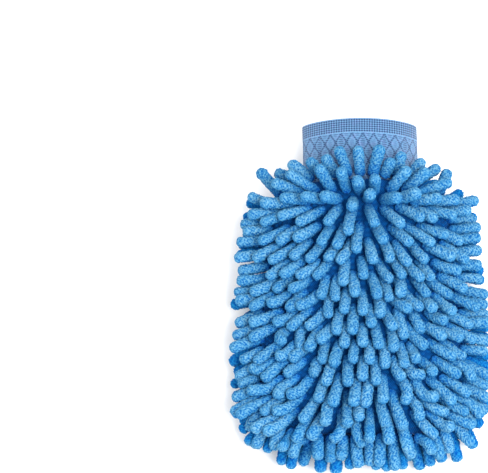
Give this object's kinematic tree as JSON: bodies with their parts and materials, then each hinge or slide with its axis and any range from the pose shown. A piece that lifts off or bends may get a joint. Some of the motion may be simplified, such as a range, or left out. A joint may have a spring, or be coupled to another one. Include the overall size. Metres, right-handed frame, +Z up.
{
  "type": "wash mitt",
  "caption": "Wash mitt with a chenille noodle pile on both faces and a folded elastic knit cuff that tilts at its seam.",
  "frame": {"origin": "on the surface the mitt lies on, under the middle of its overall box", "axes": "+X across the hand, +Y from the finger end to the cuff, +Z up through the front face"},
  "size_m": [0.1804, 0.254, 0.0635],
  "materials": {
    "noodle_pile": "chenille microfibre noodles with a pebbled terry surface, azure blue",
    "backing_cloth": "plain woven polyester backing that the noodles are tufted into",
    "lining_cloth": "fine polyester mesh lining",
    "cuff_knit": "elastic jacquard knit, pale periwinkle blue with small dark eyelets and a diamond lattice",
    "elastic_thread": "covered elastic thread",
    "sewing_thread": "twisted polyester sewing thread"
  },
  "bodies": {
    "mitt": {"front_backing": "backing_cloth", "back_backing": "backing_cloth", "front_lining": "lining_cloth", "back_lining": "lining_cloth", "edge_seam_thread": "sewing_thread", "lining_seam_thread": "sewing_thread", "front_noodle_row_01": "noodle_pile", "front_noodle_row_02": "noodle_pile", "front_noodle_row_03": "noodle_pile", "front_noodle_row_04": "noodle_pile", "front_noodle_row_05": "noodle_pile", "front_noodle_row_06": "noodle_pile", "front_noodle_row_07": "noodle_pile", "back_noodle_row_01": "noodle_pile", "back_noodle_row_02": "noodle_pile", "back_noodle_row_03": "noodle_pile", "back_noodle_row_04": "noodle_pile", "back_noodle_row_05": "noodle_pile", "back_noodle_row_06": "noodle_pile", "back_noodle_row_07": "noodle_pile", "front_edge_noodles_left": "noodle_pile", "front_edge_noodles_right": "noodle_pile", "front_edge_noodles_finger": "noodle_pile", "back_edge_noodles_left": "noodle_pile", "back_edge_noodles_right": "noodle_pile", "back_edge_noodles_finger": "noodle_pile", "front_crown_noodles": "noodle_pile", "back_crown_noodles": "noodle_pile"},
    "cuff": {"cuff_knit": "cuff_knit", "cuff_elastic_threads": "elastic_thread", "cuff_seam_thread": "sewing_thread", "cuff_side_seam_thread": "sewing_thread", "front_collar_noodles": "noodle_pile", "back_collar_noodles": "noodle_pile"}
  },
  "joints": [
    {"name": "cuff_tilt", "type": "hinge", "parent": "mitt", "child": "cuff", "pos_m": [0, 0.0805, 0.028], "axis": [1, 0, 0], "range_deg": [-8, 20], "stiffness_Nm_per_rad": 0.2}
  ]
}
